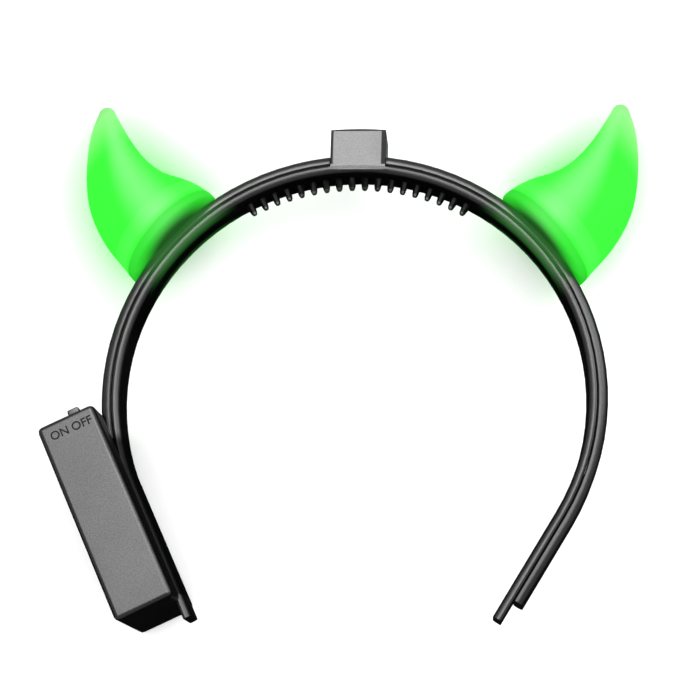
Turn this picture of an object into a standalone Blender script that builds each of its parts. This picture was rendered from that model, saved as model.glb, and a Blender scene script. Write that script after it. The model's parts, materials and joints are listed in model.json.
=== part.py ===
"""Light-up devil horns headband, lying on its back.

A comb band and its outer cover make one C-shaped hoop. Two hollow horns sit on the cover, a square
block stands on the crown, and a battery box with a slide switch hugs the left leg.

The hoop lies in the XY plane: +Y points to its crown and +Z to the viewer. Everything hangs from one
empty at the centre of the hoop's arc. Sizes are in metres, angles in degrees.
"""
import bpy
import bmesh
from math import asin, copysign, cos, degrees, pi, radians, sin, sqrt
from mathutils import Matrix, Vector

# Hoop: two strips, one on the other
BAND_WIDTH = 0.0115
ARC_RADIUS = 0.0666          # inner face of the comb band over the crown
SIDE_START = 60.0            # the tighter sides begin this far from the crown
RIGHT_SIDE_RADIUS = 0.0660
LEFT_SIDE_RADIUS = 0.0649
COMB_WALL = 0.0024
COMB_INNER_EDGE_RADIUS = 0.0016
COMB_SEAM_EDGE_RADIUS = 0.0006
COVER_WALL = 0.0027
COVER_EDGE_RADIUS = 0.0018
COVER_FOOT_CHAMFER = 0.0003
GAP = 0.0003                 # clearance between neighbouring pieces
END_ROUNDING = 0.0009

# Legs: each leaves its side on a tangent, leaning in by this much
RIGHT_LEAN = 30.7
LEFT_LEAN = 26.2
RIGHT_COMB_LEG = 0.0334
RIGHT_COVER_LEG = 0.0268
LEFT_COMB_LEG = 0.0397
LEFT_COVER_STOP = 0.0165     # the left cover ends this far above the start of the left leg

# Comb teeth under the crown
TOOTH_COUNT = 18
TOOTH_PITCH = 3.4
TOOTH_LENGTH = 0.0038
TOOTH_ROOT_DIAMETER = 0.0026
TOOTH_TIP_DIAMETER = 0.0016

# Square block on the crown, moulded with the comb band
BLOCK_WIDTH = 0.0161
BLOCK_RISE = 0.0110          # above the comb band's outer face
BLOCK_CROWN = 0.0003
BLOCK_EDGE_RADIUS = 0.0008
BLOCK_SET_BACK = 0.0001      # its faces lie this far inside the band's edges

# Horns
HORN_ANGLE = 48.3            # from the crown to each horn's middle
HORN_HEIGHT = 0.0456
HORN_CURL = 0.0155           # how far the tip swings towards the crown
HORN_BASE_DIAMETER = 0.0348
HORN_TIP_DIAMETER = 0.0056
HORN_SKIRT = 0.0010          # the flat base lies this far below the cover's crown
HORN_RIM_RADIUS = 0.0011
HORN_WALL = 0.0016
HORN_FLOOR = 0.0017
LAMP_HOLE_DIAMETER = 0.0052

# Battery box for two AA cells side by side
BOX_WIDTH = 0.0171
BOX_LENGTH = 0.0586
BOX_DEPTH = 0.0348
BOX_RISE = 0.0239            # its top end reaches this far above the start of the left leg
BOX_EDGE_RADIUS = 0.0015
BOX_WALL = 0.0015
BAND_PROUD = 0.0010          # the comb band stands this far out of the box's inner side

# Slide switch in the box's top end
KNOB_WIDTH = 0.0034
KNOB_DEPTH = 0.0032
KNOB_RISE = 0.0038
KNOB_EDGE_RADIUS = 0.0005
KNOB_FROM_FRONT = 0.0100     # knob's middle behind the box's front face
KNOB_OFF_CENTRE = 0.0017     # at rest, towards the band; it slides as far to the other side
PLATE_THICKNESS = 0.0012
PLATE_DEPTH = 0.0070
PLATE_WIDTH = 0.0030

# Fineness of the meshes
ARC_STEP = 4.0
HORN_RING_RESOLUTION = 10    # a horn has 4 + 2 * this many sides

# Worked out from the sizes above
SEAM_RADIUS = ARC_RADIUS + COMB_WALL
COVER_FOOT = SEAM_RADIUS + GAP
COVER_CROWN = COVER_FOOT + COVER_WALL
RIGHT_TANGENT = -RIGHT_LEAN
LEFT_TANGENT = 180.0 + LEFT_LEAN
BLOCK_TOP = SEAM_RADIUS + BLOCK_RISE

# Sections of a horn, from its rim to its last ring before the tip's round end.
# up: share of HORN_HEIGHT; side: share of HORN_CURL; radius: share of half HORN_BASE_DIAMETER.
HORN_SECTIONS = (
    {"up": 0.030, "side": -0.04, "radius": 1.000},
    {"up": 0.105, "side": -0.04, "radius": 0.970},
    {"up": 0.190, "side": -0.075, "radius": 0.920},
    {"up": 0.280, "side": -0.09, "radius": 0.863},
    {"up": 0.390, "side": -0.06, "radius": 0.775},
    {"up": 0.480, "side": 0.01, "radius": 0.700},
    {"up": 0.565, "side": 0.105, "radius": 0.612},
    {"up": 0.650, "side": 0.225, "radius": 0.524},
    {"up": 0.735, "side": 0.370, "radius": 0.438},
    {"up": 0.830, "side": 0.555, "radius": 0.338},
    {"up": 0.905, "side": 0.740, "radius": 0.246},
)


def clear_scene():
    for item in list(bpy.data.objects):
        bpy.data.objects.remove(item, do_unlink=True)


def make_collection(name):
    collection = bpy.data.collections.new(name)
    bpy.context.scene.collection.children.link(collection)
    return collection


def make_material(name, colour, roughness, emission=0.0):
    material = bpy.data.materials.new(name)
    material.use_nodes = True
    shader = material.node_tree.nodes["Principled BSDF"]
    shader.inputs["Base Color"].default_value = (*colour, 1.0)
    shader.inputs["Roughness"].default_value = roughness
    shader.inputs["Emission Color"].default_value = (*colour, 1.0)
    shader.inputs["Emission Strength"].default_value = emission
    return material


def add_object(name, data, collection, parent, material=None):
    item = bpy.data.objects.new(name, data)
    collection.objects.link(item)
    item.parent = parent
    if material:
        data.materials.append(material)
    return item


def as_cutter(item):
    item.hide_render = True
    item.display_type = "WIRE"
    return item


def boolean(item, operand, operation):
    modifier = item.modifiers.new(operand.name, "BOOLEAN")
    modifier.operation = operation
    modifier.solver = "EXACT"
    modifier.object = operand


def bevel(item, width, segments, angle=30.0):
    modifier = item.modifiers.new("rounded", "BEVEL")
    modifier.width = width
    modifier.segments = segments
    modifier.limit_method = "ANGLE"
    modifier.angle_limit = radians(angle)


def on_circle(radius, angle):
    return Vector((radius * cos(radians(angle)), radius * sin(radians(angle)), 0.0))


def on_hoop(angle):
    """The comb band's inner line where its outward normal points at this angle."""
    point = on_circle(ARC_RADIUS, angle)
    turn = angle - 90.0
    if abs(turn) > SIDE_START:
        tighter = ARC_RADIUS - (LEFT_SIDE_RADIUS if turn > 0.0 else RIGHT_SIDE_RADIUS)
        point += tighter * (on_circle(1.0, 90.0 + copysign(SIDE_START, turn)) - on_circle(1.0, angle))
    return point


def shade_round(mesh, angle=40.0):
    mesh.shade_smooth()
    mesh.set_sharp_from_angle(angle=radians(angle))


def mesh_from_curve(item, name, collection, material=None):
    """Turn a curve object into a closed mesh object in its place."""
    bpy.context.view_layer.update()
    evaluated = item.evaluated_get(bpy.context.evaluated_depsgraph_get())
    mesh = bpy.data.meshes.new_from_object(evaluated)
    mesh.name = name
    work = bmesh.new()
    work.from_mesh(mesh)
    bmesh.ops.remove_doubles(work, verts=work.verts, dist=1e-6)
    bmesh.ops.recalc_face_normals(work, faces=work.faces)
    work.to_mesh(mesh)
    work.free()
    mesh.materials.clear()
    shade_round(mesh)
    result = add_object(name, mesh, collection, item.parent, material)
    result.matrix_basis = item.matrix_basis.copy()
    bpy.data.objects.remove(item, do_unlink=True)
    return result


def poly_curve(name, points, closed, flat):
    curve = bpy.data.curves.new(name, "CURVE")
    curve.dimensions = "2D" if flat else "3D"
    spline = curve.splines.new("POLY")
    spline.points.add(len(points) - 1)
    for point, place in zip(spline.points, points):
        point.co = (*Vector(place).to_3d(), 1.0)
    spline.use_cyclic_u = closed
    return curve


def box_mesh(name, low, high):
    """A box between two corners, built about the item's own origin."""
    mesh = bpy.data.meshes.new(name)
    work = bmesh.new()
    size = Vector(high) - Vector(low)
    place = Matrix.Translation((Vector(high) + Vector(low)) / 2) @ Matrix.Diagonal((*size, 1.0))
    bmesh.ops.create_cube(work, size=1.0, matrix=place)
    work.to_mesh(mesh)
    work.free()
    return mesh


def corner_arc(x, y, radius, start, steps):
    """Points of a quarter round with its centre at x, y."""
    points = []
    for step in range(steps + 1):
        turn = radians(start + 90.0 * step / steps)
        points.append((x + radius * cos(turn), y + radius * sin(turn)))
    return points


def strip_profile(low, high, half_width, low_radius, high_radius, low_steps, high_steps):
    """Rounded section of a strip between two radii, across the band's width."""
    points = corner_arc(high - high_radius, half_width - high_radius, high_radius, 0, high_steps)
    points += corner_arc(low + low_radius, half_width - low_radius, low_radius, 90, low_steps)
    points += corner_arc(low + low_radius, low_radius - half_width, low_radius, 180, low_steps)
    points += corner_arc(high - high_radius, high_radius - half_width, high_radius, 270, high_steps)
    return points


def band_route(start, stop, right_leg=0.0, left_leg=0.0):
    """The comb band's inner line: up the right leg, round the arc, down the left leg."""
    steps = max(2, round((stop - start) / ARC_STEP))
    angles = [start + (stop - start) * step / steps for step in range(steps + 1)]
    route = [on_hoop(angle) for angle in angles]
    if right_leg:
        route.insert(0, route[0] + right_leg * on_circle(1.0, start - 90.0))
    if left_leg:
        route.append(route[-1] + left_leg * on_circle(1.0, stop + 90.0))
    return route


def sweep(name, route, profile, collection, parent, material=None):
    """Carry a section, given in radii and widths, along the band's inner line."""
    section = [(radius - ARC_RADIUS, across) for radius, across in profile]
    guide = bpy.data.objects.new(name + "_section", poly_curve(name + "_section", section, True, True))
    guide.data.fill_mode = "NONE"
    collection.objects.link(guide)
    path = poly_curve(name, route, False, False)
    path.twist_mode = "Z_UP"
    path.bevel_mode = "OBJECT"
    path.bevel_object = guide
    path.use_fill_caps = True
    item = add_object(name + "_path", path, collection, parent)
    result = mesh_from_curve(item, name, collection, material)
    bpy.data.objects.remove(guide, do_unlink=True)
    return result


def comb_profile():
    return strip_profile(ARC_RADIUS, SEAM_RADIUS, BAND_WIDTH / 2,
                         COMB_INNER_EDGE_RADIUS, COMB_SEAM_EDGE_RADIUS, 3, 2)


def cover_profile(clearance=0.0):
    return strip_profile(COVER_FOOT - clearance, COVER_CROWN + clearance, BAND_WIDTH / 2 + clearance,
                         COVER_FOOT_CHAMFER, COVER_EDGE_RADIUS + clearance, 1, 3)


def square_profile(low, high):
    half = BAND_WIDTH / 2 + GAP
    return [(high, half), (low, half), (low, -half), (high, -half)]


def make_teeth(guides, root):
    """A row of round-ended pegs pointing to the arc's centre, joined in one operand."""
    tip = TOOTH_TIP_DIAMETER / 2
    base = TOOTH_ROOT_DIAMETER / 2
    profile = [(0.0, TOOTH_LENGTH), (0.7 * tip, TOOTH_LENGTH - 0.3 * tip), (tip, TOOTH_LENGTH - tip),
               (base, 0.0), (base, -COMB_WALL / 2), (0.0, -COMB_WALL / 2)]
    mesh = bpy.data.meshes.new("tooth")
    mesh.from_pydata([(x, 0.0, z) for x, z in profile], [(i, i + 1) for i in range(len(profile) - 1)], [])
    tooth = add_object("tooth", mesh, guides, root)
    turned = tooth.modifiers.new("turned", "SCREW")
    turned.steps = turned.render_steps = 8
    turned.use_merge_vertices = True
    turned.merge_threshold = 1e-6
    turned.use_normal_calculate = True
    bpy.context.view_layer.update()
    one = bpy.data.meshes.new_from_object(tooth.evaluated_get(bpy.context.evaluated_depsgraph_get()))
    work = bmesh.new()
    for index in range(TOOTH_COUNT):
        angle = 90.0 + TOOTH_PITCH * (index - (TOOTH_COUNT - 1) / 2)
        copy = one.copy()
        copy.transform(Matrix.Translation(on_circle(ARC_RADIUS, angle)) @ inward_axis(angle))
        work.from_mesh(copy)
        bpy.data.meshes.remove(copy)
    bmesh.ops.recalc_face_normals(work, faces=work.faces)
    teeth = bpy.data.meshes.new("teeth")
    work.to_mesh(teeth)
    work.free()
    bpy.data.objects.remove(tooth, do_unlink=True)
    return as_cutter(add_object("teeth", teeth, guides, root))


def inward_axis(angle):
    """Turn +Z to point from the arc at this angle towards its centre."""
    return Vector((0.0, 0.0, 1.0)).rotation_difference(-on_circle(1.0, angle)).to_matrix().to_4x4()


def make_block(guides, root):
    half = BLOCK_WIDTH / 2
    foot = sqrt(ARC_RADIUS ** 2 - half ** 2) + COMB_WALL / 2
    outline = [(-half, foot), (half, foot)]
    for share in (1.0, 0.5, 0.0, -0.5, -1.0):
        outline.append((share * half, BLOCK_TOP - BLOCK_CROWN * share ** 2))
    curve = poly_curve("block_outline", outline, True, True)
    curve.fill_mode = "BOTH"
    curve.extrude = BAND_WIDTH / 2 - BLOCK_SET_BACK
    item = add_object("block_outline", curve, guides, root)
    block = mesh_from_curve(item, "block", guides)
    bevel(block, BLOCK_EDGE_RADIUS, 2)
    return as_cutter(block)


def make_comb_band(parts, guides, root, material):
    route = band_route(RIGHT_TANGENT, LEFT_TANGENT, RIGHT_COMB_LEG, LEFT_COMB_LEG)
    band = sweep("comb_band", route, comb_profile(), parts, root, material)
    bevel(band, END_ROUNDING, 2, 60.0)
    boolean(band, make_teeth(guides, root), "UNION")
    boolean(band, make_block(guides, root), "UNION")
    return band


def make_covers(parts, guides, root, material):
    """One strip on each side of the block; the left one ends inside the battery box."""
    clear = BLOCK_WIDTH / 2 + GAP
    room = box_mesh("block_room", (-clear, ARC_RADIUS / 2, -BAND_WIDTH), (clear, BLOCK_TOP, BAND_WIDTH))
    room = as_cutter(add_object("block_room", room, guides, root))
    into_block = degrees(asin(clear / COVER_CROWN)) / 2
    left_stop = LEFT_TANGENT - degrees(asin(LEFT_COVER_STOP / COVER_CROWN))
    routes = {
        "cover_right": band_route(RIGHT_TANGENT, 90.0 - into_block, RIGHT_COVER_LEG),
        "cover_left": band_route(90.0 + into_block, left_stop),
    }
    for name, route in routes.items():
        cover = sweep(name, route, cover_profile(), parts, root, material)
        bevel(cover, END_ROUNDING, 2, 60.0)
        boolean(cover, room, "DIFFERENCE")
    return left_stop


def horn_rings(inset, lowest):
    """Places and radii along a horn's middle line, drawn in by an inset, up to its rounded tip."""
    rings = []
    for row in HORN_SECTIONS:
        place = Vector((row["side"] * HORN_CURL, row["up"] * HORN_HEIGHT, 0.0))
        if place.y >= lowest:
            rings.append((place, row["radius"] * HORN_BASE_DIAMETER / 2 - inset))
    tip_radius = HORN_TIP_DIAMETER / 2
    end = Vector((HORN_CURL, HORN_HEIGHT, 0.0))
    along = (end - rings[-1][0]).normalized()
    centre = end - along * tip_radius
    for turn in (0.0, 30.0, 55.0, 75.0, 88.0):
        radius = max(tip_radius - inset, tip_radius / 3)
        rings.append((centre + along * radius * sin(radians(turn)), radius * cos(radians(turn))))
    return rings


def horn_body(name, inset, lowest, collection, parent, side, material=None):
    """A tapering tube along the horn's line, with a round rim below when it isn't inset."""
    rings = horn_rings(inset, lowest)
    first, radius = rings[0]
    base = [(Vector((first.x, lowest, 0.0)), radius)]
    if not inset:
        rim = HORN_RIM_RADIUS
        base = []
        for turn in (90.0, 60.0, 30.0, 0.0):
            drop = rim * (1.0 - sin(radians(turn)))
            base.append((Vector((first.x, lowest + drop, 0.0)), radius - rim * (1.0 - cos(radians(turn)))))
    rings = base + rings
    curve = poly_curve(name, [(place.x * side, place.y, 0.0) for place, _ in rings], False, False)
    curve.twist_mode = "Z_UP"
    curve.bevel_depth = 1.0
    curve.bevel_resolution = HORN_RING_RESOLUTION
    curve.use_fill_caps = True
    for point, (_, ring_radius) in zip(curve.splines[0].points, rings):
        point.radius = ring_radius
    item = add_object(name + "_line", curve, collection, parent)
    return mesh_from_curve(item, name, collection, material)


def make_horn(name, side, parts, guides, root, seat, material):
    """A hollow horn with its foot at the cover's crown; side is -1 on the left and 1 on the right."""
    lean = HORN_ANGLE * -side
    foot = bpy.data.objects.new(name + "_foot", None)
    guides.objects.link(foot)
    foot.parent = root
    foot.location = on_circle(COVER_CROWN, 90.0 + lean)
    foot.rotation_euler.z = radians(lean)
    horn = horn_body(name, 0.0, -HORN_SKIRT, parts, foot, -side, material)
    hollow = horn_body(name + "_hollow", HORN_WALL, GAP + HORN_FLOOR, guides, foot, -side)
    reach = HORN_FLOOR + 2 * HORN_SKIRT
    hole = bpy.data.meshes.new(name + "_lamp_hole")
    work = bmesh.new()
    upright = Matrix.Translation((0.0, GAP, 0.0)) @ Matrix.Rotation(pi / 2, 4, "X")
    bmesh.ops.create_cone(work, cap_ends=True, segments=12, radius1=LAMP_HOLE_DIAMETER / 2,
                          radius2=LAMP_HOLE_DIAMETER / 2, depth=2 * reach, matrix=upright)
    work.to_mesh(hole)
    work.free()
    hole = add_object(name + "_lamp_hole", hole, guides, foot)
    boolean(horn, seat, "DIFFERENCE")
    boolean(horn, as_cutter(hollow), "DIFFERENCE")
    boolean(horn, as_cutter(hole), "DIFFERENCE")


def make_battery_box(parts, guides, root, cover_stop, material):
    """The housing in the left leg's own frame: X towards the head, Y up the leg."""
    leg = bpy.data.objects.new("left_leg_start", None)
    guides.objects.link(leg)
    leg.parent = root
    leg.location = on_hoop(LEFT_TANGENT)
    leg.rotation_euler.z = radians(LEFT_LEAN)
    inner = -BAND_PROUD
    outer = inner - BOX_WIDTH
    front = BOX_DEPTH / 2
    top = BOX_RISE
    bottom = BOX_RISE - BOX_LENGTH
    housing = add_object("battery_box", box_mesh("battery_box", (outer, bottom, -front), (inner, top, front)),
                         parts, leg, material)
    bevel(housing, BOX_EDGE_RADIUS, 3)

    comb_room = sweep("comb_room", band_route(150.0, LEFT_TANGENT, 0.0, 2 * LEFT_COMB_LEG),
                      square_profile(ARC_RADIUS - COMB_WALL, SEAM_RADIUS + GAP), guides, root)
    cover_room = sweep("cover_room", band_route(150.0, cover_stop + degrees(GAP / COVER_CROWN)),
                       square_profile(SEAM_RADIUS - GAP, COVER_CROWN + GAP), guides, root)
    cover_depth = sqrt((COVER_CROWN + GAP) ** 2 - LEFT_COVER_STOP ** 2) - ARC_RADIUS
    inside = box_mesh("box_inside", (outer + BOX_WALL, bottom + BOX_WALL, BOX_WALL - front),
                      (-cover_depth - BOX_WALL, top - BOX_WALL, front - BOX_WALL))
    inside = add_object("box_inside", inside, guides, leg)

    rest = (inner + outer) / 2 + KNOB_OFF_CENTRE
    level = front - KNOB_FROM_FRONT
    slot = box_mesh("switch_slot", (rest - KNOB_WIDTH / 2 - 2 * KNOB_OFF_CENTRE - GAP, top - 2 * BOX_WALL,
                                    level - KNOB_DEPTH / 2 - GAP),
                    (rest + KNOB_WIDTH / 2 + GAP, top + BOX_WALL, level + KNOB_DEPTH / 2 + GAP))
    slot = add_object("switch_slot", slot, guides, leg)
    for cutter in (comb_room, cover_room, inside, slot):
        boolean(housing, as_cutter(cutter), "DIFFERENCE")
    shade_round(housing.data)
    make_switch(parts, guides, leg, (rest, top, level), material)


def make_switch(parts, guides, leg, place, material):
    """A knob that shows above the box, on a plate held under the slot."""
    plate_top = -BOX_WALL - GAP
    half = KNOB_WIDTH / 2
    knob = box_mesh("switch_slider", (-half, plate_top - PLATE_THICKNESS / 2, -KNOB_DEPTH / 2),
                    (half, KNOB_RISE, KNOB_DEPTH / 2))
    knob = add_object("switch_slider", knob, parts, leg, material)
    knob.location = place
    bevel(knob, KNOB_EDGE_RADIUS, 2)
    plate = box_mesh("switch_plate", (-PLATE_WIDTH / 2, plate_top - PLATE_THICKNESS, -PLATE_DEPTH / 2),
                     (PLATE_WIDTH / 2, plate_top, PLATE_DEPTH / 2))
    plate = add_object("switch_plate", plate, guides, leg)
    plate.location = place
    boolean(knob, as_cutter(plate), "UNION")
    shade_round(knob.data)


def lay_down(root, parts):
    """Put the whole part's floor at Z = 0 and the middle of its outline over the origin."""
    bpy.context.view_layer.update()
    depsgraph = bpy.context.evaluated_depsgraph_get()
    corners = []
    for item in parts.objects:
        shape = item.evaluated_get(depsgraph)
        corners += [shape.matrix_world @ vertex.co for vertex in shape.data.vertices]
    low = Vector([min(corner[axis] for corner in corners) for axis in range(3)])
    high = Vector([max(corner[axis] for corner in corners) for axis in range(3)])
    root.location -= Vector(((low.x + high.x) / 2, (low.y + high.y) / 2, low.z))


def main():
    clear_scene()
    parts = make_collection("devil_horns_headband")
    guides = make_collection("guides")
    black = make_material("black_plastic", (0.012, 0.012, 0.013), 0.32)
    green = make_material("green_horn_plastic", (0.12, 0.95, 0.13), 0.35, 0.6)
    root = bpy.data.objects.new("arc_centre", None)
    guides.objects.link(root)

    make_comb_band(parts, guides, root, black)
    cover_stop = make_covers(parts, guides, root, black)
    seat_arc = 2 * degrees(asin(HORN_BASE_DIAMETER / 2 / COVER_CROWN))
    for name, side in (("horn_left", -1), ("horn_right", 1)):
        middle = 90.0 - side * HORN_ANGLE
        seat = as_cutter(sweep(name + "_seat", band_route(middle - seat_arc, middle + seat_arc),
                               cover_profile(GAP), guides, root))
        make_horn(name, side, parts, guides, root, seat, green)
    make_battery_box(parts, guides, root, cover_stop, black)
    lay_down(root, parts)


main()
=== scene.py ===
"""Looks for a light-up devil horns headband: finished mouldings, glowing horns, switch lettering and studio.

Every size is in metres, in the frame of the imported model. The headband lies on its back: +X is the free
leg's side, +Y the crown and +Z the side towards the viewer.
"""

import json
from math import cos, radians, sin

import bpy
from bpy.props import FloatProperty, FloatVectorProperty, PointerProperty
from bpy.types import Operator, Panel, PropertyGroup
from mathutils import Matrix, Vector


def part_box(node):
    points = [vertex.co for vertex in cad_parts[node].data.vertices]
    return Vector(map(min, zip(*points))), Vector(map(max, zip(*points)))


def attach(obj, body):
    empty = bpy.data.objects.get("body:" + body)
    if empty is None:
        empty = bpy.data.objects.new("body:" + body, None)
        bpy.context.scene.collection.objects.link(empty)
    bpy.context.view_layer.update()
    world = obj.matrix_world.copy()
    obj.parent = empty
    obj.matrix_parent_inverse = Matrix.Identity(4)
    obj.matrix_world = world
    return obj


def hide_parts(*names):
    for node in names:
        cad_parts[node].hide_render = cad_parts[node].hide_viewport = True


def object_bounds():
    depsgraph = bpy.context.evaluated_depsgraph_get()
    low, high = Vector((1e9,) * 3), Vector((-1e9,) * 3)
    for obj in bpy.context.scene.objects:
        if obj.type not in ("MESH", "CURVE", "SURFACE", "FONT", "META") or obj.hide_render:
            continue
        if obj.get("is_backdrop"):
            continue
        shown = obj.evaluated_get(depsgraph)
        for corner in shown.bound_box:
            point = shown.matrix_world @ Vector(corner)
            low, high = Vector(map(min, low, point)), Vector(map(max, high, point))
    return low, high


bl_info = {
    "name": "Devil Horns Headband",
    "version": (1, 0, 0),
    "blender": (4, 5, 0),
    "location": "View3D > Sidebar > Headband",
    "description": "Finishes, lettering, light and camera for a light-up devil horns headband",
    "category": "Object",
}

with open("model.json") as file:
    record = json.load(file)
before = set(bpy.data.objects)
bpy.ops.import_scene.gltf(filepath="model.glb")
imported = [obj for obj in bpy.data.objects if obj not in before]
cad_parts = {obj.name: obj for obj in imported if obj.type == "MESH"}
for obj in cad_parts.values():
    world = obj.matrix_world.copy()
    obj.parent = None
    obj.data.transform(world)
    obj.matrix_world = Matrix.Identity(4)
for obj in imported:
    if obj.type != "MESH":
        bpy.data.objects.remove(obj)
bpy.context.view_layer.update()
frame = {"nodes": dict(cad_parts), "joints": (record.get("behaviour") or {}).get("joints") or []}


def colour(name, description, default):
    """A colour that a user can change."""
    return FloatVectorProperty(
        name=name, description=description, subtype="COLOR", size=3, min=0.0, max=1.0, default=default
    )


def length(name, description, default):
    """A length in metres that a user can change."""
    return FloatProperty(name=name, description=description, unit="LENGTH", precision=5, default=default)


def share(name, description, default):
    """A number from 0 to 1 that a user can change."""
    return FloatProperty(
        name=name, description=description, subtype="FACTOR", min=0.0, max=1.0, default=default
    )


def light_strength(name, description, default):
    """A strength of light, from 0 up, that a user can change."""
    return FloatProperty(name=name, description=description, min=0.0, default=default)


class BlackPlasticSettings(PropertyGroup):
    """Colour and finish of the black mouldings, and the horns' light painted on them."""

    body: colour("Body", "Colour of the moulded plastic", (0.0012, 0.0012, 0.0013))
    bloom: colour("Bloom", "Colour of the mottling that satin mouldings have", (0.0026, 0.0026, 0.0027))
    dust: colour("Dust", "Colour of dust specks", (0.02, 0.02, 0.02))
    roughness: share("Roughness", "Roughness of the satin face", 0.30)
    roughness_spread: share("Roughness spread", "How much the mottling changes the roughness", 0.05)
    grain_size: length("Grain size", "Width of one grain of the moulded texture", 0.00042)
    grain_depth: length("Grain depth", "Depth of the moulded texture", 0.000022)
    soft_edge: length("Soft edge", "Radius on edges that the mould left sharp", 0.00012)
    closer_seam: length("Closer seam", "How far each strip reaches into the seam between them", 0.00012)
    # Painted light: the horns' green light on the band is emission painted into the black plastic
    tint: colour("Tint", "Colour of the horns' light on the band beside them", (0.020, 0.120, 0.020))
    tint_reach: length("Tint reach", "From the middle of a horn's floor to where its light ends", 0.0215)


class BlockSettings(PropertyGroup):
    """Size of the crown block, and of the painted shade along the edges round its faces."""

    width: length("Width", "Width of the block", 0.0161)
    rise: length("Rise", "From the band to the block's top", 0.0112)
    left_edge: length("Left edge", "Width of the darker edge on the box's side", 0.0007)
    right_edge: length("Right edge", "Width of the darker edge on the free leg's side", 0.0012)
    top_edge: length("Top edge", "Width of the darker edge at the top", 0.0006)


class HornSettings(PropertyGroup):
    """Colour and glow of the translucent horns, with a painted highlight along their middle and painted
    light at the tip.
    """

    shell: colour("Shell", "Colour of the translucent plastic", (0.030, 0.55, 0.030))
    tip: colour("Tip", "Colour of the tip, where less light gets through", (0.19, 0.27, 0.16))
    glow: colour("Glow", "Colour of the light that comes through the shell", (0.035, 1.0, 0.035))
    # Partly the horn's own light, weaker at the tip, and partly painted light: its grey stands in for the
    # soft lights shining on the tip
    tip_glow_and_painted_light: colour("Tip glow and painted light", "Colour of the light at the tip", (0.21, 0.37, 0.18))
    # Painted highlight: a lighter colour along a horn's middle, in place of the shine of a soft light
    painted_ridge_highlight: colour("Painted ridge highlight", "Colour of the light along a horn's middle", (0.150, 0.95, 0.150))
    bend: FloatProperty(
        name="Bend", description="How fast the horn's middle curves toward the crown", default=8.0
    )
    strength: light_strength("Strength", "Strength of the glow", 1.4)
    roughness: share("Roughness", "Roughness of the shell", 0.52)
    spread: length("Spread", "How far round a horn its glow hangs in the air", 0.0060)
    spread_strength: light_strength("Spread strength", "Strength of the glow in the air", 1.2)
    lean: FloatProperty(
        name="Lean", description="Angle from the crown to a horn", subtype="ANGLE", default=radians(48.3)
    )
    seat: length("Seat", "From the middle of the crown's arc to a horn's floor", 0.0720)
    height: length("Height", "From a horn's floor to its tip", 0.0456)
    rim: length("Rim", "Radius of a horn's rim", 0.0174)


class LetteringSettings(PropertyGroup):
    """Size and place of the lettering by the switch."""

    cap_height: length("Cap height", "Height of a capital letter", 0.0024)
    stroke_growth: length("Stroke growth", "How much thicker than the plain font the strokes are", 0.00003)
    proud: length("Proud", "How far the letters stand above the box", 0.00012)
    sunk: length("Sunk", "How far the letters reach into the box", 0.00008)
    from_top: length("From top", "From the box's top end to the middle of the letters", 0.0042)
    on_across: length("ON across", "From the box's middle to the middle of ON, towards the head", -0.0029)
    off_across: length("OFF across", "From the box's middle to the middle of OFF", 0.00375)
    box_length: length("Box length", "Length of the battery box", 0.0586)


class StudioSettings(PropertyGroup):
    """Floor, lights and camera."""

    crown_radius: length("Crown radius", "From the middle of the crown's arc to the block's top", 0.0800)
    eye: FloatVectorProperty(
        name="Eye", description="Camera's place from the middle of the crown's arc", subtype="XYZ", size=3,
        unit="LENGTH", default=(0.03641, -0.11006, 0.4425),
    )
    aim: FloatVectorProperty(
        name="Aim", description="Camera's turn about X, Y and Z", subtype="EULER", size=3,
        default=(radians(15.71), radians(4.404), radians(1.600)),
    )
    lens: FloatProperty(name="Lens", description="Focal length in millimetres", min=1.0, default=82.29)
    floor: colour("Floor", "Colour of the pale floor", (0.86, 0.86, 0.86))
    floor_in_gloss: colour(
        "Floor in gloss", "Colour of the floor as the gloss shows it", (0.005, 0.005, 0.005)
    )
    floor_beyond: colour(
        "Floor beyond", "Colour of the floor beyond the crown as the gloss shows it", (0.25, 0.25, 0.25)
    )
    floor_size: length("Floor size", "Width of the floor", 8.0)
    backdrop: colour("Backdrop", "Colour behind the floor", (0.93, 0.93, 0.93))
    even_light: light_strength("Even light", "Strength of the light from all round", 1.80)
    even_gloss: share("Even gloss", "Strength of the surroundings as the gloss shows them", 0.65)


# Places


def arc_middle():
    """Middle of the crown's arc, halfway through the band's width."""
    studio = bpy.context.scene.headband_studio
    low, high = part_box("comb_band")
    left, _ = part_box("horn_left")
    _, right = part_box("horn_right")
    return Vector(((left.x + right.x) / 2, high.y - studio.crown_radius, (low.z + high.z) / 2))


def outward(angle):
    """Direction from the arc's middle, turned from the crown towards the free leg by an angle."""
    return Vector((sin(angle), cos(angle), 0.0))


def horn_seat(side):
    """Middle of the floor of the horn on one side: -1 left, 1 right."""
    look = bpy.context.scene.headband_horns
    return arc_middle() + look.seat * outward(side * look.lean)


# Nodes


def add_node(tree, kind, label, **values):
    """A node with its settings and unlinked inputs."""
    node = tree.nodes.new(kind)
    node.label = label
    for name, value in values.items():
        if name.startswith("in_"):
            node.inputs[name[3:].replace("_", " ")].default_value = value
        else:
            setattr(node, name, value)
    return node


def add_sockets(tree, inputs, outputs):
    """Named sockets of a shader node group, each given as name: kind."""
    for name, kind in inputs.items():
        tree.interface.new_socket(name, in_out="INPUT", socket_type=f"NodeSocket{kind}")
    for name, kind in outputs.items():
        tree.interface.new_socket(name, in_out="OUTPUT", socket_type=f"NodeSocket{kind}")


def map_range(tree, label, value, start, end, low=0.0, high=1.0):
    """A smooth step of a value between two limits."""
    node = add_node(tree, "ShaderNodeMapRange", label, interpolation_type="SMOOTHSTEP")
    tree.links.new(value, node.inputs["Value"])
    for name, number in (("From Min", start), ("From Max", end), ("To Min", low), ("To Max", high)):
        node.inputs[name].default_value = number
    return node.outputs["Result"]


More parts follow.
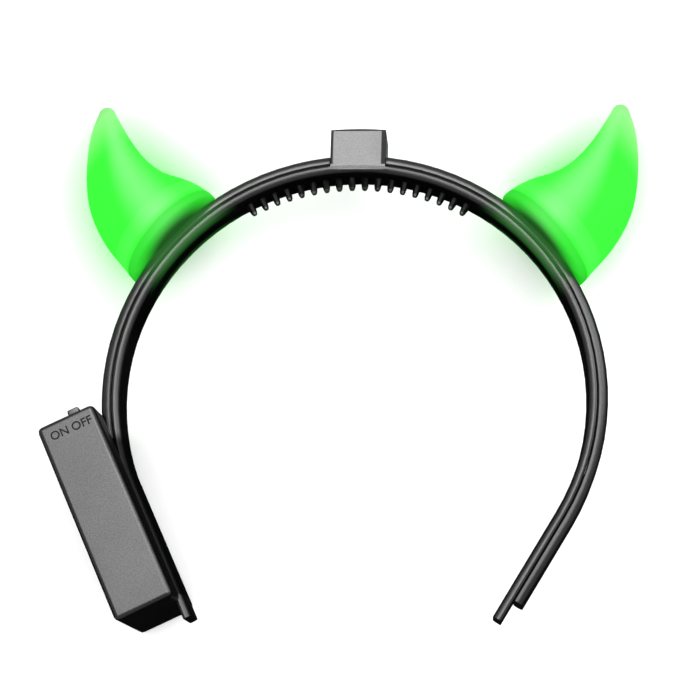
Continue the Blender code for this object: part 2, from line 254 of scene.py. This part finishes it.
def blend(tree, label, factor, first, second):
    """A mix of two colours, each a socket or a plain colour."""
    node = add_node(tree, "ShaderNodeMix", label, data_type="RGBA")
    tree.links.new(factor, node.inputs["Factor"])
    for socket, value in ((node.inputs[6], first), (node.inputs[7], second)):
        if isinstance(value, bpy.types.NodeSocket):
            tree.links.new(value, socket)
        else:
            socket.default_value = (*value, 1.0)
    return node.outputs[2]


def math_node(tree, label, operation, first, second=None):
    """The result of a sum on one or two values, each a socket or a plain number."""
    node = add_node(tree, "ShaderNodeMath", label, operation=operation)
    for socket, value in zip(node.inputs, (first, second)):
        if isinstance(value, bpy.types.NodeSocket):
            tree.links.new(value, socket)
        elif value is not None:
            socket.default_value = value
    return node.outputs[0]


def split_place(tree, label, place):
    """The X, Y and Z of a place."""
    node = add_node(tree, "ShaderNodeSeparateXYZ", label)
    tree.links.new(place, node.inputs[0])
    return node.outputs


def keep_axes(tree, label, parts, axes):
    """A place with only some of its axes, and nought on the others."""
    node = add_node(tree, "ShaderNodeCombineXYZ", label)
    for axis in axes:
        tree.links.new(parts[axis], node.inputs[axis])
    return node.outputs[0]


def distance_from(tree, label, place, point=(0.0, 0.0, 0.0)):
    """How far a place is from a point."""
    node = add_node(tree, "ShaderNodeVectorMath", label, operation="DISTANCE")
    tree.links.new(place, node.inputs[0])
    node.inputs[1].default_value = point
    return node.outputs["Value"]


# Noise values between which the mottling sets in
MOTTLE_CONTRAST = (0.35, 0.68)
# Shares of the dust spacing between which a speck fades out
SPECK_EDGE = (0.05, 0.09)
# Random numbers above which a speck is kept
SPECKS_KEPT = (0.93, 0.97)


def add_grain_noise(tree):
    """The noise that is the grain of a moulded face."""
    return add_node(tree, "ShaderNodeTexNoise", "Grain", in_Detail=3.0, in_Roughness=0.6)


def make_moulded_finish():
    """Group: grain, mottling and dust specks that a moulded face has, in sizes given in metres."""
    tree = bpy.data.node_groups.new("moulded_finish", "ShaderNodeTree")
    add_sockets(
        tree,
        {"Vector": "Vector", "Grain Size": "Float", "Mottle Size": "Float", "Dust Spacing": "Float"},
        {"Height": "Float", "Mottle": "Float", "Dust": "Float"},
    )
    given = tree.nodes.new("NodeGroupInput")
    result = tree.nodes.new("NodeGroupOutput")
    grain = add_grain_noise(tree)
    mottle = add_node(tree, "ShaderNodeTexNoise", "Mottle", in_Detail=2.0, in_Roughness=0.5)
    dust = add_node(tree, "ShaderNodeTexVoronoi", "Dust")
    for node, size in ((grain, "Grain Size"), (mottle, "Mottle Size"), (dust, "Dust Spacing")):
        per_metre = math_node(tree, f"1 / {size}", "DIVIDE", 1.0, given.outputs[size])
        tree.links.new(given.outputs["Vector"], node.inputs["Vector"])
        tree.links.new(per_metre, node.inputs["Scale"])

    mottled = map_range(tree, "Mottle contrast", mottle.outputs["Fac"], *MOTTLE_CONTRAST)
    speck = map_range(tree, "Speck", dust.outputs["Distance"], *SPECK_EDGE, 1.0, 0.0)
    drawn = add_node(tree, "ShaderNodeSeparateColor", "Random number of each speck")
    tree.links.new(dust.outputs["Color"], drawn.inputs[0])
    kept = map_range(tree, "Keep a few specks", drawn.outputs[0], *SPECKS_KEPT)
    specks = math_node(tree, "Specks kept", "MULTIPLY", speck, kept)
    for name, socket in (("Height", grain.outputs["Fac"]), ("Mottle", mottled), ("Dust", specks)):
        tree.links.new(socket, result.inputs[name])
    return tree


def new_material(name):
    """An empty node material and its Principled shader."""
    material = bpy.data.materials.new(name)
    material.use_nodes = True
    return material, material.node_tree, material.node_tree.nodes["Principled BSDF"]


def place_moulded_finish(tree, place, grain_size, mottle_size, dust_spacing):
    """The moulded finish group in a material, with its own sizes: its height, mottle and dust."""
    group = bpy.data.node_groups.get("moulded_finish") or make_moulded_finish()
    node = add_node(tree, "ShaderNodeGroup", "Moulded finish", node_tree=group)
    node.inputs["Grain Size"].default_value = grain_size
    node.inputs["Mottle Size"].default_value = mottle_size
    node.inputs["Dust Spacing"].default_value = dust_spacing
    tree.links.new(place, node.inputs["Vector"])
    return node.outputs


def add_grain_bump(tree, shader, height, depth):
    """Grain as bump on a shader's normal."""
    bump = add_node(tree, "ShaderNodeBump", "Grain", in_Distance=depth, in_Strength=1.0)
    tree.links.new(height, bump.inputs["Height"])
    tree.links.new(bump.outputs["Normal"], shader.inputs["Normal"])


# Black plastic

MOTTLE_SIZE = 0.018
DUST_SPACING = 0.0035
# Grain heights from its dullest to its brightest glint, and those glints as shares of the gloss
GLINT_HEIGHTS = (0.36, 0.64)
GLINTS = (0.89, 1.11)
# Share of the tint's reach up to which the horns' light is full
FULL_TINT = 0.45
# Distances from the middle of the band's width between which the horns' light sets in
TINTED_RIM = (0.0015, 0.0055)


def black_plastic(name="satin_black_plastic", shade=1.0, roughness_added=0.0, gloss=0.5, lit_share=None):
    """Satin black plastic with fine grain, soft mottling and a few specks of dust.

    lit_share is a function that adds a mask of painted shade for the gloss to the material's nodes. The
    gloss has the grain's noise to itself, because the group's values are for colour, roughness and bump.
    """
    made = bpy.data.materials.get(name)
    if made:
        return made
    look = bpy.context.scene.headband_black_plastic
    material, tree, shader = new_material(name)
    place = add_node(tree, "ShaderNodeTexCoord", "Place").outputs["Object"]
    finish = place_moulded_finish(tree, place, look.grain_size, MOTTLE_SIZE, DUST_SPACING)
    body = [c * shade for c in look.body]
    bloom = [c * shade for c in look.bloom]
    mottled = blend(tree, "Mottled body", finish["Mottle"], body, bloom)
    grained = blend(tree, "Grain in the colour", finish["Height"], body, mottled)
    dusty = blend(tree, "Dust", finish["Dust"], grained, look.dust)
    tree.links.new(dusty, shader.inputs["Base Color"])

    middle = look.roughness + roughness_added
    spread = look.roughness_spread / 2
    rough = map_range(tree, "Roughness", finish["Mottle"], 0.0, 1.0, middle + spread, middle - spread)
    tree.links.new(rough, shader.inputs["Roughness"])
    grain = add_grain_noise(tree)
    tree.links.new(place, grain.inputs["Vector"])
    grain.inputs["Scale"].default_value = 1.0 / look.grain_size
    dull, bright = (part * gloss for part in GLINTS)
    glint = map_range(tree, "Glint of the grain", grain.outputs["Fac"], *GLINT_HEIGHTS, dull, bright)
    if lit_share:
        glint = math_node(tree, "Glint out of deep shade", "MULTIPLY", glint, lit_share(tree, place))
    tree.links.new(glint, shader.inputs["Specular IOR Level"])
    add_grain_bump(tree, shader, finish["Height"], look.grain_depth)
    add_horn_light(tree, shader, place, look)
    return material


def add_horn_light(tree, shader, place, look):
    """Painted light from the horns: green on the rims of the band near them."""
    apart = [distance_from(tree, "From a horn's floor", place, horn_seat(side)) for side in (-1, 1)]
    nearest = math_node(tree, "From the nearest horn", "MINIMUM", *apart)
    full = FULL_TINT * look.tint_reach
    reached = map_range(tree, "Reached by its light", nearest, full, look.tint_reach, 1.0, 0.0)
    parts = split_place(tree, "Place on the band", place)
    deep = math_node(tree, "From the middle of the width", "SUBTRACT", parts["Z"], arc_middle().z)
    deep = math_node(tree, "Either way", "ABSOLUTE", deep)
    at_rim = map_range(tree, "Toward the rims", deep, *TINTED_RIM)
    reached = math_node(tree, "Reached on the rims", "MULTIPLY", reached, at_rim)
    tint = blend(tree, "Tint", reached, (0.0, 0.0, 0.0), look.tint)
    tree.links.new(tint, shader.inputs["Emission Color"])
    shader.inputs["Emission Strength"].default_value = 1.0


# Each pair below gives the two places between which the comb band's gloss changes, for its painted shade.
# Radii from the arc's middle at the teeth's tips and at the band's inner face
TOOTH_TIPS = (0.0632, 0.0640)
INNER_FACE = (0.0664, 0.0669)
# Y where the teeth end, above the battery box and below it, and X between the legs
TEETH_END = (0.0, 0.010)
ABOVE_BOX = (-0.028, -0.022)
BELOW_BOX = (-0.0700, -0.0690)
BETWEEN_LEGS = (-0.02, -0.01)
# Share of the gloss that is left in deep shade
SHADED_GLOSS = 0.12
# Half the width over which a darker edge of the block fades, and the fade at its foot
EDGE_FADE = 0.0002
FOOT_FADE = 0.0003


def block_lit_share(tree, parts):
    """Mask for the gloss of the crown block: painted shade darkens its front and back faces along their
    edges.
    """
    block = bpy.context.scene.headband_block
    middle = arc_middle()
    left = middle.x - block.width / 2 + block.left_edge
    right = middle.x + block.width / 2 - block.right_edge
    top = middle.y + bpy.context.scene.headband_studio.crown_radius
    foot = top - block.rise

    def inside(label, axis, limit, *ends):
        """A mask that turns over within a soft edge about a limit."""
        return map_range(tree, label, parts[axis], limit - EDGE_FADE, limit + EDGE_FADE, *ends)

    from_left = inside("In from the left edge", "X", left)
    from_right = inside("In from the right edge", "X", right, 1.0, 0.0)
    from_top = inside("In from the top edge", "Y", top - block.top_edge, 1.0, 0.0)
    face = math_node(tree, "In from both sides", "MINIMUM", from_left, from_right)
    face = math_node(tree, "In from every edge", "MINIMUM", face, from_top)
    below = map_range(tree, "Below the block", parts["Y"], foot, foot + FOOT_FADE, 1.0, 0.0)
    return math_node(tree, "Face or band", "MAXIMUM", face, below)


def comb_lit_share(tree, place):
    """Mask of painted shade for the gloss of the comb band: little gloss at the teeth's roots and on the leg
    beside the box.
    """
    middle = arc_middle()
    parts = split_place(tree, "Place on the band", place)
    flat = keep_axes(tree, "Across and along", parts, "XY")
    radius = distance_from(tree, "From the arc's middle", flat, (middle.x, middle.y, 0.0))
    tips = map_range(tree, "Tips of the teeth", radius, *TOOTH_TIPS, 1.0, 0.0)
    rims = map_range(tree, "Rims of the band", radius, *INNER_FACE)
    crown = math_node(tree, "Tips or rims", "MAXIMUM", tips, rims)
    lower = map_range(tree, "Below the teeth", parts["Y"], *TEETH_END, 1.0, 0.0)
    crown = math_node(tree, "Lit at the crown", "MAXIMUM", crown, lower)
    above = map_range(tree, "Above the box", parts["Y"], *ABOVE_BOX)
    below = map_range(tree, "Below the box", parts["Y"], *BELOW_BOX, 1.0, 0.0)
    beyond = map_range(tree, "On the other leg", parts["X"], *BETWEEN_LEGS)
    leg = math_node(tree, "Above or below the box", "MAXIMUM", above, below)
    leg = math_node(tree, "Lit on the legs", "MAXIMUM", leg, beyond)
    lit = math_node(tree, "Lit on the band", "MINIMUM", crown, leg)
    lit = math_node(tree, "Lit", "MINIMUM", lit, block_lit_share(tree, parts))
    return map_range(tree, "Lit share", lit, 0.0, 1.0, SHADED_GLOSS, 1.0)


# Horn plastic

# Painted shade on a horn's floor: the colours of the shell and of the glow there
DIM_SHELL = (0.010, 0.030, 0.010)
DIM_GLOW = (0.0, 0.02, 0.0)
HORN_GRAIN_SIZE = 0.0008
HORN_GRAIN_DEPTH = 0.00002
HORN_MOTTLE_SIZE = 0.009
HORN_DUST_SPACING = 0.006
HORN_GLOSS = 0.03
# What the mottling adds to the shell's roughness, from its least to its most
HORN_ROUGHNESS_ADDED = (-0.04, 0.06)
# Shares of a horn's height between which the glow turns to the tip's glow and painted light
TIP_SHARES = (0.66, 1.0)
# Share of the height over which the painted shade on the walls fades above the floor
FLOOR_FADE = 0.09
# Share of the rim's radius where the floor starts to be lit, and its lit share there and at the rim
DIM_FLOOR = 0.50
FLOOR_LIT = (0.02, 0.34)
# Half width of the painted highlight along the ridge at a horn's floor and at its tip
RIDGE_WIDTHS = (0.0105, 0.0035)


def add_horn_ridge(tree, parts, side, look):
    """Mask along the middle of a horn, which curves toward the crown: where a highlight is painted into the
    glow.
    """
    squared = math_node(tree, "Up, squared", "MULTIPLY", parts["Y"], parts["Y"])
    curve = math_node(tree, "Where the middle is", "MULTIPLY", squared, -side * look.bend)
    beside = math_node(tree, "From the middle", "SUBTRACT", parts["X"], curve)
    beside = math_node(tree, "Either side", "ABSOLUTE", beside)
    width = map_range(tree, "Width of the ridge", parts["Y"], 0.0, look.height, *RIDGE_WIDTHS)
    beside = math_node(tree, "Share of the width", "DIVIDE", beside, width)
    return map_range(tree, "Ridge", beside, 0.0, 1.0, 1.0, 0.0)


def horn_plastic(name, side):
    """Translucent green plastic lit from inside, for the horn on one side: -1 left, 1 right."""
    look = bpy.context.scene.headband_horns
    material, tree, shader = new_material(name)
    place = add_node(tree, "ShaderNodeTexCoord", "Place").outputs["Object"]
    local = add_node(
        tree, "ShaderNodeMapping", "Y up the horn from its floor", vector_type="TEXTURE",
        in_Location=horn_seat(side), in_Rotation=(0.0, 0.0, -side * look.lean),
    )
    tree.links.new(place, local.inputs["Vector"])
    parts = split_place(tree, "Across, up and deep", local.outputs["Vector"])
    radius = distance_from(tree, "From the horn's axis", keep_axes(tree, "Across and deep", parts, "XZ"))
    tip_from, tip_to = (part * look.height for part in TIP_SHARES)
    toward_tip = map_range(tree, "Toward the tip", parts["Y"], tip_from, tip_to)
    # Painted shade: the horn's floor and the foot of its walls are darker, in colour and in glow
    above_floor = map_range(tree, "Above the floor", parts["Y"], 0.0, FLOOR_FADE * look.height)
    near_rim = map_range(tree, "Near the rim", radius, DIM_FLOOR * look.rim, look.rim, *FLOOR_LIT)
    lit = math_node(tree, "Lit share", "MAXIMUM", above_floor, near_rim)

    shell = blend(tree, "Shell to tip", toward_tip, look.shell, look.tip)
    shell = blend(tree, "Painted shade on the shell's floor", lit, DIM_SHELL, shell)
    tree.links.new(shell, shader.inputs["Base Color"])
    # A painted highlight along the horn's middle is mixed into the glow
    ridge = add_horn_ridge(tree, parts, side, look)
    glow = blend(tree, "Painted highlight on the ridge", ridge, look.glow, look.painted_ridge_highlight)
    # Toward the tip the glow takes in painted light from the soft lights
    glow = blend(tree, "Glow to tip", toward_tip, glow, look.tip_glow_and_painted_light)
    glow = blend(tree, "Painted shade on the glow's floor", lit, DIM_GLOW, glow)
    tree.links.new(glow, shader.inputs["Emission Color"])
    shader.inputs["Emission Strength"].default_value = look.strength
    shader.inputs["Specular IOR Level"].default_value = HORN_GLOSS

    finish = place_moulded_finish(tree, place, HORN_GRAIN_SIZE, HORN_MOTTLE_SIZE, HORN_DUST_SPACING)
    smooth, dull = (look.roughness + added for added in HORN_ROUGHNESS_ADDED)
    rough = map_range(tree, "Roughness", finish["Mottle"], 0.0, 1.0, smooth, dull)
    tree.links.new(rough, shader.inputs["Roughness"])
    add_grain_bump(tree, shader, finish["Height"], HORN_GRAIN_DEPTH)
    return material


# Pieces

MERGE_DISTANCE = 1e-6
SMOOTH_ANGLE = radians(38.0)
SOFT_EDGE_ANGLE = radians(50.0)
# Height of a capital as a share of the font's size
CAPITAL_SHARE = 0.70


def select_only(piece):
    """Selects one object and makes it active."""
    bpy.ops.object.select_all(action="DESELECT")
    piece.select_set(True)
    bpy.context.view_layer.objects.active = piece


def merged_copy(node, name):
    """A copy of a CAD node with its triangles joined, left in edit mode and selected all over."""
    piece = bpy.data.objects.new(name, frame["nodes"][node].data.copy())
    bpy.context.scene.collection.objects.link(piece)
    select_only(piece)
    bpy.ops.mesh.customdata_custom_splitnormals_clear()
    bpy.ops.object.mode_set(mode="EDIT")
    bpy.ops.mesh.select_all(action="SELECT")
    bpy.ops.mesh.remove_doubles(threshold=MERGE_DISTANCE)
    return piece


def give_material(piece, material):
    """Makes a material the only one on a piece."""
    piece.data.materials.clear()
    piece.data.materials.append(material)


def round_off_horn(piece):
    """Makes a horn's faces evenly curved and keeps its rims sharp."""
    bpy.ops.object.mode_set(mode="EDIT")
    bpy.ops.mesh.select_all(action="SELECT")
    bpy.ops.mesh.tris_convert_to_quads()
    bpy.ops.mesh.select_mode(type="EDGE")
    bpy.ops.mesh.select_all(action="DESELECT")
    bpy.ops.mesh.edges_select_sharp(sharpness=SMOOTH_ANGLE)
    bpy.ops.transform.edge_crease(value=1.0)
    bpy.ops.object.mode_set(mode="OBJECT")
    curves = piece.modifiers.new("rounder_faces", "SUBSURF")
    curves.levels = 2
    bpy.ops.object.modifier_apply(modifier=curves.name)


def finished_copy(node, name, body, material, soft_edge=0.0, prepare=None, grown=0.0):
    """A finished piece in a CAD node's place, made from a merged copy of it.

    The copy is fattened by grown and goes through prepare. Then its sharp edges are softened and its round
    faces are shaded smooth.
    """
    piece = merged_copy(node, name)
    if grown:
        bpy.ops.transform.shrink_fatten(value=grown)
    bpy.ops.object.mode_set(mode="OBJECT")
    if prepare:
        prepare(piece)
    if soft_edge > 0.0:
        bevel = piece.modifiers.new("soft_edges", "BEVEL")
        bevel.width = soft_edge
        bevel.segments = 2
        bevel.limit_method = "ANGLE"
        bevel.angle_limit = SOFT_EDGE_ANGLE
        bpy.ops.object.modifier_apply(modifier=bevel.name)
    bpy.ops.object.shade_smooth_by_angle(angle=SMOOTH_ANGLE)
    piece.modifiers.new("even_shading", "WEIGHTED_NORMAL").keep_sharp = True
    bpy.ops.object.modifier_apply(modifier="even_shading")
    give_material(piece, material)
    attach(piece, body)
    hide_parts(node)
    return piece


class HEADBAND_OT_comb_band(Operator):
    """Finishes the inner strip with its teeth and crown block"""

    bl_idname = "headband.comb_band"
    bl_label = "Comb Band"

    def execute(self, context):
        look = context.scene.headband_black_plastic
        material = black_plastic("comb_black_plastic", lit_share=comb_lit_share)
        finished_copy(
            "comb_band", "comb_band_moulding", "headband", material, look.soft_edge,
            grown=look.closer_seam,
        )
        return {"FINISHED"}


class HEADBAND_OT_cover_strips(Operator):
    """Finishes the two outer strips"""

    bl_idname = "headband.cover_strips"
    bl_label = "Cover Strips"

    def execute(self, context):
        look = context.scene.headband_black_plastic
        for side in ("left", "right"):
            finished_copy(
                f"cover_{side}", f"cover_strip_{side}", "headband", black_plastic(),
                look.soft_edge, grown=look.closer_seam,
            )
        return {"FINISHED"}


class HEADBAND_OT_horns(Operator):
    """Finishes the two glowing horns"""

    bl_idname = "headband.horns"
    bl_label = "Glowing Horns"

    def execute(self, context):
        for side, sign in (("left", -1), ("right", 1)):
            material = horn_plastic(f"lit_green_plastic_{side}", sign)
            finished_copy(
                f"horn_{side}", f"horn_shell_{side}", "headband", material,
                prepare=round_off_horn,
            )
        return {"FINISHED"}


class HEADBAND_OT_battery_case(Operator):
    """Finishes the battery box"""

    bl_idname = "headband.battery_case"
    bl_label = "Battery Case"

    def execute(self, context):
        edge = context.scene.headband_black_plastic.soft_edge
        finished_copy("battery_box", "battery_case", "headband", black_plastic(), edge)
        return {"FINISHED"}


class HEADBAND_OT_switch_knob(Operator):
    """Finishes the sliding switch knob"""

    bl_idname = "headband.switch_knob"
    bl_label = "Switch Knob"

    def execute(self, context):
        edge = context.scene.headband_black_plastic.soft_edge
        finished_copy("switch_slider", "switch_knob", "slider", black_plastic(), edge)
        return {"FINISHED"}


def letter_block(name, word, place, turn, material):
    """A word in raised letters that face the viewer, centred on a place on the box."""
    letters = bpy.context.scene.headband_lettering
    bpy.ops.object.select_all(action="DESELECT")
    bpy.ops.object.text_add()
    piece = bpy.context.object
    piece.name = name
    piece.data.body = word
    piece.data.align_x = "CENTER"
    piece.data.align_y = "CENTER"
    piece.data.size = letters.cap_height / CAPITAL_SHARE
    piece.data.offset = letters.stroke_growth
    piece.data.extrude = (letters.proud + letters.sunk) / 2
    bpy.ops.object.convert(target="MESH")
    bpy.ops.object.mode_set(mode="EDIT")
    bpy.ops.mesh.select_all(action="SELECT")
    bpy.ops.mesh.remove_doubles(threshold=MERGE_DISTANCE)
    bpy.ops.mesh.normals_make_consistent(inside=False)
    bpy.ops.object.mode_set(mode="OBJECT")
    piece.location = place + Vector((0.0, 0.0, (letters.proud - letters.sunk) / 2))
    piece.rotation_euler.z = turn
    bpy.ops.object.transform_apply(location=True, rotation=True, scale=True)
    give_material(piece, material)
    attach(piece, "headband")
    return piece


class HEADBAND_OT_lettering(Operator):
    """Adds the raised ON and OFF by the switch"""

    bl_idname = "headband.lettering"
    bl_label = "Switch Lettering"

    def execute(self, context):
        letters = context.scene.headband_lettering
        low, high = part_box("battery_box")
        middle = Vector(((low.x + high.x) / 2, (low.y + high.y) / 2, high.z))
        across = -Vector(frame["joints"][0]["axis"])
        up = Vector((-across.y, across.x, 0.0))
        line = middle + (letters.box_length / 2 - letters.from_top) * up
        turn = Vector((1.0, 0.0)).angle_signed(across.xy)
        ink = black_plastic("lettering_plastic", shade=0.6, roughness_added=0.35, gloss=0.16)
        letter_block("lettering_on", "ON", line + letters.on_across * across, -turn, ink)
        letter_block("lettering_off", "OFF", line + letters.off_across * across, -turn, ink)
        return {"FINISHED"}


# Studio

# From a horn's floor to its glow in the air, as a share of the glow's spread
GLOW_CLEARANCE = 1.3
# Y between which the floor's colour in the gloss changes, at the crown
CROWN_FLOOR = (0.056, 0.066)


def soft_light(name, place, target, size, power, on_matt=True):
    """A square soft light that shines from a place towards a target.

    on_matt tells whether it lights matt surfaces too, or shows in gloss alone.
    """
    lamp = bpy.data.lights.new(name, "AREA")
    lamp.shape = "SQUARE"
    lamp.size = size
    lamp.energy = power
    light = bpy.data.objects.new(name, lamp)
    bpy.context.scene.collection.objects.link(light)
    light.location = place
    light.rotation_euler = (target - Vector(place)).to_track_quat("-Z", "Y").to_euler()
    light.visible_camera = False
    light.visible_diffuse = on_matt


class HEADBAND_OT_studio(Operator):
    """Adds the pale floor, the soft lights, the glow round the horns and the camera"""

    bl_idname = "headband.studio"
    bl_label = "Studio"

    def execute(self, context):
        studio = context.scene.headband_studio
        make_floor(studio)
        make_world(studio)
        middle = arc_middle()
        soft_light("softbox_front", (0.0, 0.20, 0.80), middle, size=0.84, power=13.2, on_matt=False)
        soft_light("softbox_crown", (-0.07, 0.40, 0.78), middle, size=0.32, power=2.4, on_matt=False)
        soft_light("softbox_right", (0.55, 0.30, 0.50), middle, size=0.35, power=2.0)
        for side, sign in (("left", -1), ("right", 1)):
            spread_glow(side, sign, context.scene.headband_horns)
        make_camera(studio, middle)
        context.scene.view_settings.view_transform = "Standard"
        return {"FINISHED"}


def seen_or_lit(tree, seen, lit):
    """A colour that the camera sees and another that gloss and bounced light get."""
    path = add_node(tree, "ShaderNodeLightPath", "Seen by the camera")
    return blend(tree, "Seen or lit", path.outputs["Is Camera Ray"], lit, seen)


def spread_glow(side, sign, horns):
    """An unseen hull round a horn that spreads its light: the floor and the band nearby turn green."""
    middle = arc_middle()
    away = outward(sign * horns.lean)
    start = middle + (horns.seat + GLOW_CLEARANCE * horns.spread) * away
    # The hull is moved to where the camera sees the horn against the floor
    eye = middle + Vector(bpy.context.scene.headband_studio.eye)
    inside = horn_seat(sign) + horns.height / 2 * away
    shift = (inside - eye) * inside.z / (eye.z - inside.z)

    hull = merged_copy(f"horn_{side}", f"glow_round_horn_{side}")
    bpy.ops.mesh.convex_hull()
    bpy.ops.mesh.select_all(action="SELECT")
    bpy.ops.transform.shrink_fatten(value=horns.spread)
    bpy.ops.transform.translate(value=(shift.x, shift.y, 0.0))
    bpy.ops.mesh.bisect(plane_co=start, plane_no=away, use_fill=True, clear_inner=True)
    bpy.ops.object.mode_set(mode="OBJECT")

    material, _, shader = new_material(f"glow_{side}")
    shader.inputs["Base Color"].default_value = (0.0, 0.0, 0.0, 1.0)
    shader.inputs["Emission Color"].default_value = (*horns.glow, 1.0)
    shader.inputs["Emission Strength"].default_value = horns.spread_strength
    give_material(hull, material)
    hull.visible_camera = hull.visible_glossy = hull.visible_transmission = hull.visible_shadow = False
    hull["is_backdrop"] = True


def make_floor(studio):
    """A plain pale floor under the headband."""
    bpy.ops.object.select_all(action="DESELECT")
    low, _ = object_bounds()
    bpy.ops.mesh.primitive_plane_add(size=studio.floor_size, location=(0.0, 0.0, low.z))
    floor = bpy.context.object
    floor.name = "studio_floor"
    material, tree, shader = new_material("pale_floor")
    place = add_node(tree, "ShaderNodeTexCoord", "Place").outputs["Object"]
    parts = split_place(tree, "Place on the floor", place)
    beyond = map_range(tree, "Beyond the crown", parts["Y"], *CROWN_FLOOR)
    gloss = blend(tree, "Floor in gloss", beyond, studio.floor_in_gloss, studio.floor_beyond)
    tree.links.new(seen_or_lit(tree, studio.floor, gloss), shader.inputs["Base Color"])
    shader.inputs["Roughness"].default_value = 0.9
    shader.inputs["Specular IOR Level"].default_value = 0.0
    floor.data.materials.append(material)
    floor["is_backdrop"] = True


def make_world(studio):
    """Even light from all round, and a pale backdrop for the camera."""
    world = bpy.data.worlds.new("studio_world")
    bpy.context.scene.world = world
    world.use_nodes = True
    world.cycles.sampling_method = "NONE"
    tree = world.node_tree
    path = add_node(tree, "ShaderNodeLightPath", "Kind of ray")
    gloss = [studio.even_gloss] * 3
    even = [studio.even_light] * 3
    lit = blend(tree, "Even light", path.outputs["Is Diffuse Ray"], gloss, even)
    seen = blend(tree, "Backdrop", path.outputs["Is Camera Ray"], lit, studio.backdrop)
    tree.links.new(seen, tree.nodes["Background"].inputs["Color"])


def make_camera(studio, middle):
    """The photograph's camera."""
    data = bpy.data.cameras.new("camera")
    data.lens = studio.lens
    camera = bpy.data.objects.new("camera", data)
    bpy.context.scene.collection.objects.link(camera)
    camera.location = middle + Vector(studio.eye)
    camera.rotation_euler = studio.aim
    bpy.context.scene.camera = camera


# Sidebar and start


class HEADBAND_PT_panel(Panel):
    """Lists the headband's pieces in the sidebar"""

    bl_idname = "HEADBAND_PT_panel"
    bl_label = "Devil Horns Headband"
    bl_space_type = "VIEW_3D"
    bl_region_type = "UI"
    bl_category = "Headband"

    def draw(self, context):
        for name in SETTINGS:
            settings = getattr(context.scene, name)
            box = self.layout.box()
            for key in settings.__annotations__:
                box.prop(settings, key)
        for step in STEPS:
            self.layout.operator(step.bl_idname)


SETTINGS = {
    "headband_black_plastic": BlackPlasticSettings,
    "headband_block": BlockSettings,
    "headband_horns": HornSettings,
    "headband_lettering": LetteringSettings,
    "headband_studio": StudioSettings,
}
STEPS = (
    HEADBAND_OT_comb_band,
    HEADBAND_OT_cover_strips,
    HEADBAND_OT_horns,
    HEADBAND_OT_battery_case,
    HEADBAND_OT_switch_knob,
    HEADBAND_OT_lettering,
    HEADBAND_OT_studio,
)


def register():
    """Registers the settings, the operators and the panel."""
    for name, settings in SETTINGS.items():
        bpy.utils.register_class(settings)
        setattr(bpy.types.Scene, name, PointerProperty(type=settings))
    for cls in (*STEPS, HEADBAND_PT_panel):
        bpy.utils.register_class(cls)


def unregister():
    """Takes away what register added."""
    for cls in (HEADBAND_PT_panel, *reversed(STEPS)):
        bpy.utils.unregister_class(cls)
    for name, settings in reversed(SETTINGS.items()):
        delattr(bpy.types.Scene, name)
        bpy.utils.unregister_class(settings)


def main():
    """Builds the whole scene."""
    register()
    bpy.ops.headband.comb_band()
    bpy.ops.headband.cover_strips()
    bpy.ops.headband.horns()
    bpy.ops.headband.battery_case()
    bpy.ops.headband.switch_knob()
    bpy.ops.headband.lettering()
    bpy.ops.headband.studio()


if __name__ == "__main__":
    main()
